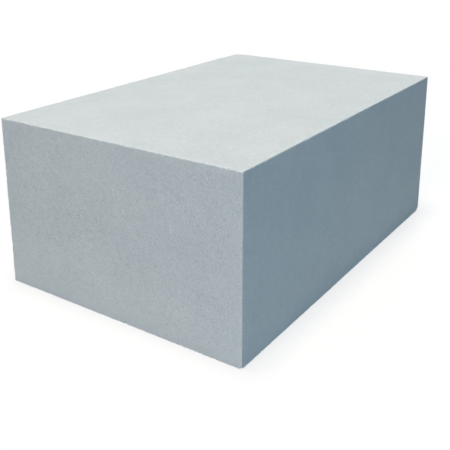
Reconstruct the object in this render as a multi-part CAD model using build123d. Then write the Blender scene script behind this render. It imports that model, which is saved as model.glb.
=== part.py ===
from build123d import *
import os

# A solid wall block of aerated concrete, wire-cut from one cake: a plain prism in one piece.
# It lies on its lower bed face, with its length along X.
# The origin is the middle of that bed face.

# Driving dimensions, in millimetres
LENGTH = 600.0
WIDTH = 400.0
HEIGHT = 250.0

# The cutting wire leaves crisp arrises, which handling has eased
ARRIS_RADIUS = 1.2

# Three corners are knocked off, each to a small slanting facet.
# This is the longest reach of any facet along an edge of the block.
CORNER_BREAK = 10.0

# A broken corner, named by its side of the block along X, Y and Z,
# and how far its facet reaches along those edges, as shares of the longest reach
CORNER_BREAK_SHARES = {
    (-1, -1, -1): (0.60, 0.55, 0.40),
    (1, -1, -1): (0.90, 0.50, 0.70),
    (1, 1, 1): (1.00, 0.85, 0.50),
}


def cut_prism():
    """The block as it leaves the cutting wires, with its arrises eased."""
    prism = Box(LENGTH, WIDTH, HEIGHT, align=(Align.CENTER, Align.CENTER, Align.MIN))
    return fillet(prism.edges(), ARRIS_RADIUS)


def break_plane(side, shares):
    """The facet of one broken corner, as a plane that faces out of the block."""
    corner = Vector(side[0] * LENGTH / 2, side[1] * WIDTH / 2, (1 + side[2]) * HEIGHT / 2)
    reach = [CORNER_BREAK * share for share in shares]
    outward = Vector(side[0] / reach[0], side[1] / reach[1], side[2] / reach[2])
    along_length = Vector(side[0] * reach[0], 0, 0)
    return Plane(origin=corner - along_length, z_dir=outward)


def concrete_block():
    """The whole block, with its broken corners."""
    block = cut_prism()
    for side, shares in CORNER_BREAK_SHARES.items():
        block = split(block, bisect_by=break_plane(side, shares), keep=Keep.BOTTOM)
    return block


os.makedirs("parts", exist_ok=True)
export_step(concrete_block(), "parts/concrete_block.step")
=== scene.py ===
import math
from dataclasses import dataclass

import bpy
import numpy as np
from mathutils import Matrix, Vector, noise
from mathutils.geometry import delaunay_2d_cdt

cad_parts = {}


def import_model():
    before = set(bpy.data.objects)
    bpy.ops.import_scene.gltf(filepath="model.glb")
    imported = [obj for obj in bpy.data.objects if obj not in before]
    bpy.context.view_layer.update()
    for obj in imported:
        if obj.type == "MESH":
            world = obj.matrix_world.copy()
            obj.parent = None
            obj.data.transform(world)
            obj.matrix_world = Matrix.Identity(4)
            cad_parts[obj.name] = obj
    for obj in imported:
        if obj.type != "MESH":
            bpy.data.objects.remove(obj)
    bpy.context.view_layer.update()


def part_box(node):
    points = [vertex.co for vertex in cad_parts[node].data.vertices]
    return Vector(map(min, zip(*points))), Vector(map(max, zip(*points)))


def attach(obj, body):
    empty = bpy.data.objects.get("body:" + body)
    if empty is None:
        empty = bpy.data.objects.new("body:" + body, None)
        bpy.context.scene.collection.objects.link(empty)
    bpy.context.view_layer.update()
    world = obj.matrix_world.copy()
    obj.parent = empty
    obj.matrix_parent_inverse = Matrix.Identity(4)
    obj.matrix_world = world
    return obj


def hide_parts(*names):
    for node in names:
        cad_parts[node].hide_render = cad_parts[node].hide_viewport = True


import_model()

# A solid block of aerated concrete.
# The wires that cut it from its cake opened the gas bubbles on its faces.
# Handling has worn and nicked its arrises, and knocked off three of its corners.

MM = 0.001
NODE = "concrete_block"
SLOT = "aerated_concrete"
LOW, HIGH = (np.array(corner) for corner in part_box(NODE))
SIZE = HIGH - LOW
SEED = 20
rng = np.random.default_rng(SEED)

# Arrises: how round they are, how much that varies along them, and how far in from them the painted
# highlight and dust show
ARRIS_RADIUS = 1.2 * MM
ARRIS_VARIATION_SHARE = 0.45
ARRIS_WAVELENGTH = 7 * MM
ARRIS_NOISE_SHIFT = 11.3
HIGHLIGHT_AND_DUST_WIDTH = 3.2 * MM

# Points along each edge, and rings of points inside it: distance from the edge, and step along it
EDGE_STEP = 1.5 * MM
RINGS = [
    (0.45 * MM, 1.5 * MM),
    (0.95 * MM, 1.7 * MM),
    (1.55 * MM, 2.0 * MM),
    (2.4 * MM, 2.8 * MM),
    (3.6 * MM, 4.0 * MM),
    (5.4 * MM, 6.0 * MM),
]
STEP_JITTER_SHARE = 0.28

# Points that lie closer than this, in millimetres, are one point
SAME_POINT_DECIMALS = 4
SAME_POINT = 10**-SAME_POINT_DECIMALS

# The mesh is shaded smooth in its pits and this near to its edges, apart from creases this sharp
SMOOTH_BAND = 2.0 * MM
SHARP_ANGLE = math.radians(38)

# Corners that are knocked off, by their side along X, Y and Z, and how far along those edges
BROKEN_CORNERS = {
    (-1, -1, -1): (6.0 * MM, 5.5 * MM, 4.0 * MM),
    (1, -1, -1): (9.0 * MM, 5.0 * MM, 7.0 * MM),
    (1, 1, 1): (10.0 * MM, 8.5 * MM, 5.0 * MM),
}

# How rough the facets of those corners are
FRACTURE_DEPTH = 0.5 * MM
FRACTURE_MEAN_SHARE = 0.5
FRACTURE_WAVELENGTH = 2.5 * MM
FRACTURE_NOISE_SHIFT = 4.1


@dataclass
class PitKind:
    """Cut-open bubbles of one range of radii, with depths as shares of the radius.

    A pit without floor points is a plain cone.
    """

    per_area: float
    smallest: float
    largest: float
    shallowest_share: float
    deepest_share: float
    rim_points: int
    floor_points: int


PIT_KINDS = [
    PitKind(450, 1.2 * MM, 2.2 * MM, 0.30, 0.50, rim_points=8, floor_points=4),
    PitKind(9500, 0.7 * MM, 1.2 * MM, 0.35, 0.60, rim_points=6, floor_points=0),
]

# How much the small pits outnumber the large ones, and how uneven their rings of points are
PIT_SMALLNESS = 1.6
PIT_JITTER_SHARE = 0.14

# The ring of floor points, as shares of the pit's radius and depth
PIT_FLOOR_SHARE = 0.58
PIT_FLOOR_DEPTH_SHARE = 0.74

# The room between pits, as a share of their radii and a gap, and between them and the edges
PIT_CLEARANCE = 1.25
PIT_GAP = 0.5 * MM
PIT_EDGE_GAP = 2.6 * MM

# A pit this deep has the full painted shade
FULL_PIT_DEPTH = 1.5 * MM


@dataclass
class NickKind:
    """Bubbles and lost crumbs of one range of radii, centred a little outside the arris they break."""

    per_length: float
    smallest: float
    largest: float
    outward_share: float


NICK_KINDS = [
    NickKind(90, 0.9 * MM, 2.0 * MM, 0.15),
    NickKind(5, 2.0 * MM, 3.6 * MM, 0.40),
]

# Nicks keep this far from the ends of an arris, so that the unbroken corners stay crisp
NICK_END_GAP = 6 * MM

# The bake map: two columns of faces, by their normal's axis and side, in metres of the block
MAP_GAP = 6 * MM
MAP_COLUMN = SIZE[0] + 2 * MAP_GAP
MAP_PLACES = {
    (2, 1): (MAP_GAP, MAP_GAP),
    (2, -1): (MAP_GAP, SIZE[1] + 2 * MAP_GAP),
    (1, -1): (MAP_GAP, 2 * SIZE[1] + 3 * MAP_GAP),
    (0, -1): (MAP_COLUMN, MAP_GAP),
    (0, 1): (MAP_COLUMN, SIZE[2] + 2 * MAP_GAP),
    (1, 1): (MAP_COLUMN, 2 * SIZE[2] + 3 * MAP_GAP),
}
MAP_SIDE = 2 * SIZE[2] + SIZE[0] + 4 * MAP_GAP


def in_plane(normal):
    """The two axes of a face, which are right-handed with its normal."""
    return (normal + 1) % 3, (normal + 2) % 3


def stepped(length, step):
    """Uneven places from 0 to length, both included."""
    count = max(2, round(length / step))
    places = np.linspace(0, length, count + 1)
    places[1:-1] += rng.uniform(-STEP_JITTER_SHARE, STEP_JITTER_SHARE, count - 1) * length / count
    return places


def edge_places():
    """Places along the block's twelve edges, by axis and by side on the next two axes."""
    return {
        (axis, first, second): stepped(SIZE[axis], EDGE_STEP)
        for axis in range(3)
        for first in (-1, 1)
        for second in (-1, 1)
    }


def rectangle(bottom, top, left, right):
    """The points of a rectangle, from the places along its four sides."""
    width, height = bottom[-1], left[-1]
    points = [(place, 0) for place in bottom[:-1]]
    points += [(width, place) for place in right[:-1]]
    points += [(place, height) for place in top[1:]]
    points += [(0, place) for place in left[1:]]
    return np.array(points)


def ring(width, height, inset, step):
    """One ring of points inside the edges of a face."""
    across, up = width - 2 * inset, height - 2 * inset
    sides = (stepped(length, step) for length in (across, across, up, up))
    return rectangle(*sides) + inset


class Scatter:
    """Round things on a flat face that keep clear of each other."""

    def __init__(self, cell):
        self.cell = cell
        self.cells = {}

    def key(self, place):
        return int(place[0] // self.cell), int(place[1] // self.cell)

    def near(self, place):
        column, row = self.key(place)
        for i in (-1, 0, 1):
            for j in (-1, 0, 1):
                yield from self.cells.get((column + i, row + j), ())

    def is_clear(self, place, radius, gap):
        return all(
            math.dist(place, other) > (radius + other_radius) * PIT_CLEARANCE + gap
            for other, other_radius in self.near(place)
        )

    def add(self, place, radius):
        self.cells.setdefault(self.key(place), []).append((place, radius))


def pit_points(place, radius, kind):
    """The points of one pit and their depths: its rim, a ring part-way down, and its bottom."""
    deepest = radius * rng.uniform(kind.shallowest_share, kind.deepest_share)
    rings = [
        (kind.rim_points, 1.0, 0.0),
        (kind.floor_points, PIT_FLOOR_SHARE, PIT_FLOOR_DEPTH_SHARE * deepest),
    ]
    points, depths = [], []
    for count, share, depth in rings:
        phase = rng.uniform(0, math.tau)
        for i in range(count):
            angle = phase + math.tau * i / count
            reach = radius * share * (1 + rng.uniform(-PIT_JITTER_SHARE, PIT_JITTER_SHARE))
            points.append((place[0] + reach * math.cos(angle), place[1] + reach * math.sin(angle)))
            depths.append(depth)
    return points + [place], depths + [deepest]


def pitted(width, height):
    """Every pit of a face: their points and depths, and where they are."""
    largest = max(kind.largest for kind in PIT_KINDS)
    scatter = Scatter(2 * PIT_CLEARANCE * largest + PIT_GAP)
    points, depths = [], []
    for kind in PIT_KINDS:
        for _ in range(round(kind.per_area * width * height)):
            radius = kind.smallest * (kind.largest / kind.smallest) ** (rng.random() ** PIT_SMALLNESS)
            edge = radius + PIT_EDGE_GAP
            place = (rng.uniform(edge, width - edge), rng.uniform(edge, height - edge))
            if scatter.is_clear(place, radius, PIT_GAP):
                scatter.add(place, radius)
                pit, pit_depths = pit_points(place, radius, kind)
                points += pit
                depths += pit_depths
    return np.array(points), np.array(depths), scatter


def triangulated(points):
    """Triangles between flat points, counter-clockwise, as rows of three places in the list."""
    flat = [Vector(point) for point in points / MM]
    _, _, faces, sources, _, _ = delaunay_2d_cdt(flat, [], [], 0, SAME_POINT)
    own = np.array([source[0] for source in sources])
    rows = own[np.array(faces)]
    first, second, third = (points[rows[:, i]] for i in range(3))
    (x1, y1), (x2, y2) = (second - first).T, (third - first).T
    backward = x1 * y2 < x2 * y1
    rows[backward] = rows[backward][:, ::-1]
    return rows


def face_sheet(normal, side, edges):
    """One face of the block, still flat: its points in the plane, their depths, and its triangles."""
    a, b = in_plane(normal)
    width, height = SIZE[a], SIZE[b]
    outline = rectangle(edges[a, -1, side], edges[a, 1, side], edges[b, side, -1], edges[b, side, 1])
    pits, pit_depths, scatter = pitted(width, height)
    rings = np.vstack([ring(width, height, inset, step) for inset, step in RINGS])
    rings = rings[[scatter.is_clear(point, 0.0, 0.0) for point in rings]]
    points = np.vstack([outline, rings, pits])
    depths = np.concatenate([np.zeros(len(outline) + len(rings)), pit_depths])
    return points, depths, triangulated(points)


def on_map(normal, side, points):
    """Where a face's points lie on the bake map.

    A face on the low side is seen the other way round, so its points are mirrored.
    The front is mirrored about its diagonal, which also lays its length across the map.
    """
    if side < 0 and normal == 1:
        points = points[:, ::-1]
    elif side < 0:
        width = SIZE[in_plane(normal)[0]]
        points = np.array((width, 0)) + points * (-1, 1)
    return (points + MAP_PLACES[normal, side]) / MAP_SIDE


def block_sheets():
    """The six faces as one closed sheet, still flat.

    Gives its points, how far each is sunk in a pit, its triangles, and their corners on the bake map.
    """
    edges = edge_places()
    places, sinks, rows, corners = [], [], [], []
    count = 0
    for normal in range(3):
        a, b = in_plane(normal)
        for side in (-1, 1):
            points, depths, triangles = face_sheet(normal, side, edges)
            place = np.empty((len(points), 3))
            place[:, a] = LOW[a] + points[:, 0]
            place[:, b] = LOW[b] + points[:, 1]
            place[:, normal] = HIGH[normal] if side > 0 else LOW[normal]
            sink = np.zeros((len(points), 3))
            sink[:, normal] = -side * depths
            triangles = triangles[:, ::side]
            places.append(place)
            sinks.append(sink)
            rows.append(triangles + count)
            corners.append(on_map(normal, side, points)[triangles.ravel()])
            count += len(points)
    places, sinks, rows, corners = (np.vstack(part) for part in (places, sinks, rows, corners))

    # Neighbouring faces share the points of their common edge
    rounded = np.round(places / MM, SAME_POINT_DECIMALS)
    _, first, own = np.unique(rounded, axis=0, return_index=True, return_inverse=True)
    return places[first], sinks[first], own.ravel()[rows], corners


def noise_at(places, wavelength, shift):
    """Smooth noise from -1 to 1 at each place."""
    return np.array([noise.noise(Vector(place)) for place in places / wavelength + shift])


def eased(places):
    """Places on the sharp prism, moved onto its rounded arrises."""
    variation = ARRIS_VARIATION_SHARE * noise_at(places, ARRIS_WAVELENGTH, ARRIS_NOISE_SHIFT)
    radius = ARRIS_RADIUS * (1 + variation)
    inner = np.clip(places, LOW + radius[:, None], HIGH - radius[:, None])
    away = places - inner
    return inner + away * (radius / np.linalg.norm(away, axis=1))[:, None]


def arrises():
    """Each arris of the block: the axis it runs along, and the direction from it into the block."""
    for axis in range(3):
        b, c = in_plane(axis)
        for b_side in (-1, 1):
            for c_side in (-1, 1):
                inward = np.zeros(3)
                inward[[b, c]] = -b_side, -c_side
                yield axis, inward / math.sqrt(2)


def bitten(places, inward, centre, radius):
    """Places with those inside a ball pushed inward to its far side."""
    from_centre = places - centre
    along = from_centre @ inward
    inside = radius**2 - (from_centre**2).sum(1)
    step = np.sqrt(np.maximum(along**2 + inside, 0)) - along
    return places + np.where(inside > 0, step, 0)[:, None] * inward


def nicked(places):
    """Places with the bubbles and crumbs along each arris taken out."""
    places = places.copy()
    reach = 2 * max(kind.largest for kind in NICK_KINDS)
    for axis, inward in arrises():
        edge = np.where(inward > 0, LOW, HIGH)
        across = np.delete(places - edge, axis, axis=1)
        close = np.flatnonzero(np.linalg.norm(across, axis=1) < reach)
        for kind in NICK_KINDS:
            for _ in range(round(kind.per_length * SIZE[axis])):
                radius = rng.uniform(kind.smallest, kind.largest)
                centre = edge - inward * radius * kind.outward_share
                centre[axis] = rng.uniform(LOW[axis] + NICK_END_GAP, HIGH[axis] - NICK_END_GAP)
                places[close] = bitten(places[close], inward, centre, radius)
    return places


def broken(places):
    """Places with the knocked-off corners cut back to rough facets."""
    places = places.copy()
    for side, reach in BROKEN_CORNERS.items():
        corner = np.where(np.array(side) > 0, HIGH, LOW)
        slope = np.array(side) / np.array(reach)
        steepness = np.linalg.norm(slope)
        outward = slope / steepness
        beyond = (places - corner) @ outward + 1 / steepness
        cut = beyond > 0
        unevenness = noise_at(places[cut], FRACTURE_WAVELENGTH, FRACTURE_NOISE_SHIFT)
        rough = FRACTURE_DEPTH * (FRACTURE_MEAN_SHARE + unevenness)
        depth = rough * np.minimum(beyond[cut] / FRACTURE_DEPTH, 1)
        places[cut] -= (beyond[cut] + depth)[:, None] * outward
    return places


def edge_gap(places):
    """How far each place on the prism is from the nearest edge."""
    gaps = np.minimum(places - LOW, HIGH - places)
    return np.sort(gaps, axis=1)[:, 1]


def block(material):
    """The block as one closed mesh: pitted faces, worn and nicked arrises, broken corners."""
    places, sinks, rows, corners = block_sheets()
    weathered = broken(nicked(eased(places))) + sinks
    mesh = bpy.data.meshes.new("block")
    mesh.from_pydata(weathered.tolist(), [], rows.tolist())
    mesh.uv_layers.new(name="OFBake").uv.foreach_set("vector", corners.ravel())
    depths = np.abs(sinks).sum(1)
    gaps = edge_gap(places)
    shares = {
        # Nearness to an edge, for the painted highlight and dust on the arrises
        "worn": np.exp(-((gaps / HIGHLIGHT_AND_DUST_WIDTH) ** 2)),
        "sunk": np.minimum(depths / FULL_PIT_DEPTH, 1),
    }
    for name, values in shares.items():
        mesh.attributes.new(name, "FLOAT", "POINT").data.foreach_set("value", values)
    flat = (depths == 0) & (gaps > SMOOTH_BAND)
    mesh.set_sharp_from_angle(angle=SHARP_ANGLE)
    mesh.polygons.foreach_set("use_smooth", ~flat[rows].all(1))
    mesh.materials.append(material)
    piece = bpy.data.objects.new("block", mesh)
    bpy.context.scene.collection.objects.link(piece)
    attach(piece, "root")
    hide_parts(NODE)


@dataclass
class Ramp:
    """A smooth step: as a value goes from low to high, the result goes from start to end."""

    low: float
    high: float
    start: float = 0.0
    end: float = 1.0


# The sockets of a Mix node that mixes colours
MIX_FACTOR, MIX_FIRST, MIX_SECOND = 0, 6, 7
MIX_RESULT = 2


class Nodes:
    """A node tree written as nested calls: an input is a plain value or another node's output."""

    def __init__(self, owner):
        owner.use_nodes = True
        self.tree = owner.node_tree
        self.tree.nodes.clear()

    def add(self, kind, inputs=None, **settings):
        made = self.tree.nodes.new("ShaderNode" + kind)
        for name, value in settings.items():
            setattr(made, name, value)
        for socket, value in (inputs or {}).items():
            if isinstance(value, bpy.types.NodeSocket):
                self.tree.links.new(value, made.inputs[socket])
            else:
                made.inputs[socket].default_value = value
        return made

    def ramp(self, value, ramp):
        inputs = {
            "Value": value,
            "From Min": ramp.low,
            "From Max": ramp.high,
            "To Min": ramp.start,
            "To Max": ramp.end,
        }
        return self.add("MapRange", inputs, interpolation_type="SMOOTHSTEP").outputs["Result"]

    def math(self, operation, first, second):
        return self.add("Math", {0: first, 1: second}, operation=operation).outputs["Value"]

    def mix(self, share, first, second):
        """Two colours mixed."""
        inputs = {MIX_FACTOR: share, MIX_FIRST: first, MIX_SECOND: second}
        return self.add("Mix", inputs, data_type="RGBA").outputs[MIX_RESULT]

    def mix_shaders(self, share, first, second):
        return self.add("MixShader", {0: share, 1: first, 2: second}).outputs["Shader"]


# The concrete's colours, from the painted shade in its bubbles and pits to the dust and painted
# highlight on its arrises
HOLLOW_SHADE = (0.50, 0.545, 0.56, 1)
DULL = (0.634, 0.686, 0.693, 1)
PALE = (0.682, 0.732, 0.735, 1)
DUST_AND_HIGHLIGHT = (0.74, 0.79, 0.80, 1)
TONE = Ramp(0.35, 0.65)
CLOUD_SHARE = 0.5
GRAIN_DUST = Ramp(0.56, 0.68, 0.0, 0.6)
ARRIS_HIGHLIGHT_AND_DUST = Ramp(0.42, 0.62, 0.1, 1.0)
BUBBLE_SHADE = 0.2
PIT_SHADE = 0.6

# Its dull, powdery gloss
ROUGHNESS = Ramp(0.3, 0.7, 0.84, 0.96)
SPECULAR_LEVEL = 0.1


@dataclass
class Unevenness:
    """Noise of one wavelength, with finer octaves and how strong they are."""

    wavelength: float
    octaves: float
    octave_share: float


CLOUDS = Unevenness(80 * MM, 2.0, 0.5)
MOTTLE = Unevenness(9 * MM, 3.0, 0.6)
GRAIN = Unevenness(4.4 * MM, 3.0, 0.75)
GRAIN_RELIEF = 1.3 * MM

# Bubbles too fine for the mesh. Each lies in a cell of its own, and distances are shares of the cell.
BUBBLE_CELL = 3.0 * MM
BUBBLE_RADIUS = Ramp(0.2, 1.0, 0.0, 0.34)
BUBBLE_WALL = Ramp(0.0, 0.16)
BUBBLE_DEPTH = 0.2 * MM

# Pores that are finer still, and their depth as a share of the grain's relief
PORE_CELL = 1.1 * MM
PORE_WALL = Ramp(0.1, 0.45, 1.0, 0.0)
PORE_DEPTH_SHARE = 0.43


def concrete():
    """Aerated concrete: a pale, dusty matt surface, cloudy, grainy and full of fine bubbles."""
    material = bpy.data.materials.new(SLOT)
    nodes = Nodes(material)
    place = nodes.add("TexCoord").outputs["Object"]

    def uneven(kind):
        inputs = {
            "Vector": place,
            "Scale": 1 / kind.wavelength,
            "Detail": kind.octaves,
            "Roughness": kind.octave_share,
        }
        return nodes.add("TexNoise", inputs).outputs["Fac"]

    def cells(size):
        return nodes.add("TexVoronoi", {"Vector": place, "Scale": 1 / size}).outputs

    def share(name):
        return nodes.add("Attribute", attribute_name=name).outputs["Fac"]

    clouds, mottle, grain = (uneven(kind) for kind in (CLOUDS, MOTTLE, GRAIN))
    # How sunk each point is, for the painted shade in pits, and how near an edge, for the painted
    # highlight and dust there
    sunk, worn = share("sunk"), share("worn")

    # A bubble's radius is drawn from its cell's chance colour, and some cells have none
    bubbles = cells(BUBBLE_CELL)
    chance = nodes.add("SeparateColor", {"Color": bubbles["Color"]}).outputs["Red"]
    radius = nodes.ramp(chance, BUBBLE_RADIUS)
    bubble = nodes.ramp(nodes.math("SUBTRACT", radius, bubbles["Distance"]), BUBBLE_WALL)
    pore = nodes.ramp(cells(PORE_CELL)["Distance"], PORE_WALL)

    cloudy = nodes.math("MULTIPLY", clouds, CLOUD_SHARE)
    tone = nodes.math("ADD", cloudy, nodes.math("MULTIPLY", mottle, 1 - CLOUD_SHARE))
    # Painted highlight and dust on the arrises, broken up by the grain
    arris_highlight_and_dust = nodes.math("MULTIPLY", worn, nodes.ramp(grain, ARRIS_HIGHLIGHT_AND_DUST))
    colour = nodes.mix(nodes.ramp(tone, TONE), DULL, PALE)
    colour = nodes.mix(nodes.ramp(grain, GRAIN_DUST), colour, DUST_AND_HIGHLIGHT)
    # Painted shade in the fine bubbles, and in the mesh's pits the deeper they are sunk
    colour = nodes.mix(nodes.math("MULTIPLY", bubble, BUBBLE_SHADE), colour, HOLLOW_SHADE)
    colour = nodes.mix(nodes.math("MULTIPLY", sunk, PIT_SHADE), colour, HOLLOW_SHADE)
    colour = nodes.mix(arris_highlight_and_dust, colour, DUST_AND_HIGHLIGHT)

    porous = nodes.math("SUBTRACT", grain, nodes.math("MULTIPLY", pore, PORE_DEPTH_SHARE))
    grainy = nodes.add("Bump", {"Height": porous, "Distance": GRAIN_RELIEF}).outputs["Normal"]
    inputs = {"Height": bubble, "Distance": BUBBLE_DEPTH, "Normal": grainy}
    bubbly = nodes.add("Bump", inputs, invert=True).outputs["Normal"]
    inputs = {
        "Base Color": colour,
        "Roughness": nodes.ramp(mottle, ROUGHNESS),
        "Specular IOR Level": SPECULAR_LEVEL,
        "Normal": bubbly,
    }
    shader = nodes.add("BsdfPrincipled", inputs).outputs["BSDF"]
    nodes.add("OutputMaterial", {"Surface": shader})
    return material


# The studio: a cool ambient light, and a wide floor
WHITE = (1, 1, 1, 1)
AMBIENT = (0.12, 0.228, 0.328, 1)
FLOOR_SIDE = 12.0

# The floor by the distance from the block's middle: its colour as it lights the block,
# and how much of the block's shadow shows on it
FLOOR_NEAR = (0.45, 0.45, 0.45, 1)
FLOOR_FAR = (0.25, 0.25, 0.25, 1)
FLOOR_DIMMING = Ramp(0.4, 0.9)
FLOOR_SHADE = Ramp(0.45, 0.95, 0.35, 0.0)


def seen_directly(nodes):
    """1 for what the camera sees, also in a mirror or through glass, and 0 for what lights the block."""
    path = nodes.add("LightPath").outputs
    mirrored = nodes.math("MAXIMUM", path["Is Glossy Ray"], path["Is Transmission Ray"])
    return nodes.math("MAXIMUM", path["Is Camera Ray"], mirrored)


def world():
    """A cool, even ambient light, with plain white behind the block."""
    made = bpy.data.worlds.new("studio")
    bpy.context.scene.world = made
    nodes = Nodes(made)

    def background(colour):
        return nodes.add("Background", {"Color": colour}).outputs["Background"]

    shown = nodes.mix_shaders(seen_directly(nodes), background(AMBIENT), background(WHITE))
    nodes.add("OutputWorld", {"Surface": shown})


def floor_material():
    """A pale floor that reads as white, with the block's shadow near the block."""
    material = bpy.data.materials.new("floor")
    nodes = Nodes(material)

    def matt(colour):
        return nodes.add("BsdfDiffuse", {"Color": colour}).outputs["BSDF"]

    place = nodes.add("TexCoord").outputs["Object"]
    away = nodes.add("VectorMath", {0: place}, operation="LENGTH").outputs["Value"]
    dimmed = nodes.mix(nodes.ramp(away, FLOOR_DIMMING), FLOOR_NEAR, FLOOR_FAR)
    glow = nodes.add("Emission", {"Color": WHITE}).outputs["Emission"]
    white = nodes.mix_shaders(nodes.ramp(away, FLOOR_SHADE), glow, matt(WHITE))
    shown = nodes.mix_shaders(seen_directly(nodes), matt(dimmed), white)
    nodes.add("OutputMaterial", {"Surface": shown})
    return material


def floor():
    """The floor under the block, which is stage and no part of it."""
    half = FLOOR_SIDE / 2
    level = float(LOW[2])
    corners = [(-half, -half, level), (half, -half, level), (half, half, level), (-half, half, level)]
    mesh = bpy.data.meshes.new("floor")
    mesh.from_pydata(corners, [], [(0, 1, 2, 3)])
    mesh.materials.append(floor_material())
    made = bpy.data.objects.new("floor", mesh)
    bpy.context.scene.collection.objects.link(made)


@dataclass
class Softbox:
    """A square lamp that faces the middle of the block."""

    name: str
    place: tuple
    side: float
    watts: float
    colour: tuple


# Warm light from above and from the left, and cool light into the shade in front and behind
SOFTBOXES = [
    Softbox("over", (-0.3, 0.0, 5.5), 1.4, 208, (1.0, 0.86, 0.72)),
    Softbox("side", (-2.3, -0.3, 1.15), 1.0, 21.5, (1.0, 0.88, 0.81)),
    Softbox("front", (-1.0, -1.3, 0.15), 0.6, 2.95, (0.33, 0.74, 1.0)),
    Softbox("back", (4.2, 0.9, 1.9), 2.0, 63, (0.92, 0.96, 1.0)),
]


def lamp(softbox):
    """One softbox, out of the camera's sight."""
    light = bpy.data.lights.new(softbox.name, "AREA")
    light.size = softbox.side
    light.energy = softbox.watts
    light.color = softbox.colour
    made = bpy.data.objects.new(softbox.name, light)
    made.location = softbox.place
    toward = Vector((LOW + HIGH) / 2) - made.location
    made.rotation_euler = toward.to_track_quat("-Z", "Y").to_euler()
    made.visible_camera = False
    bpy.context.scene.collection.objects.link(made)


# The photograph's view: the camera's place, direction and lens, and how far its frame is shifted
PHOTO_SIDE = 450
FOCAL_PIXELS = 729.2
EYE = (-0.936, -0.606, 0.518)
AZIMUTH = math.radians(-55.95)
ELEVATION = math.radians(15.96)
FRAME_SHIFT = -0.22


def camera():
    """The camera, where the photograph was taken from."""
    data = bpy.data.cameras.new("camera")
    data.lens = data.sensor_width * FOCAL_PIXELS / PHOTO_SIDE
    data.shift_y = FRAME_SHIFT
    made = bpy.data.objects.new("camera", data)
    made.location = EYE
    level = math.cos(ELEVATION)
    back = Vector((math.sin(AZIMUTH) * level, -math.cos(AZIMUTH) * level, math.sin(ELEVATION)))
    made.rotation_euler = (-back).to_track_quat("-Z", "Y").to_euler()
    bpy.context.scene.collection.objects.link(made)
    bpy.context.scene.camera = made


bpy.context.scene.view_settings.view_transform = "Standard"
block(concrete())
world()
floor()
for softbox in SOFTBOXES:
    lamp(softbox)
camera()
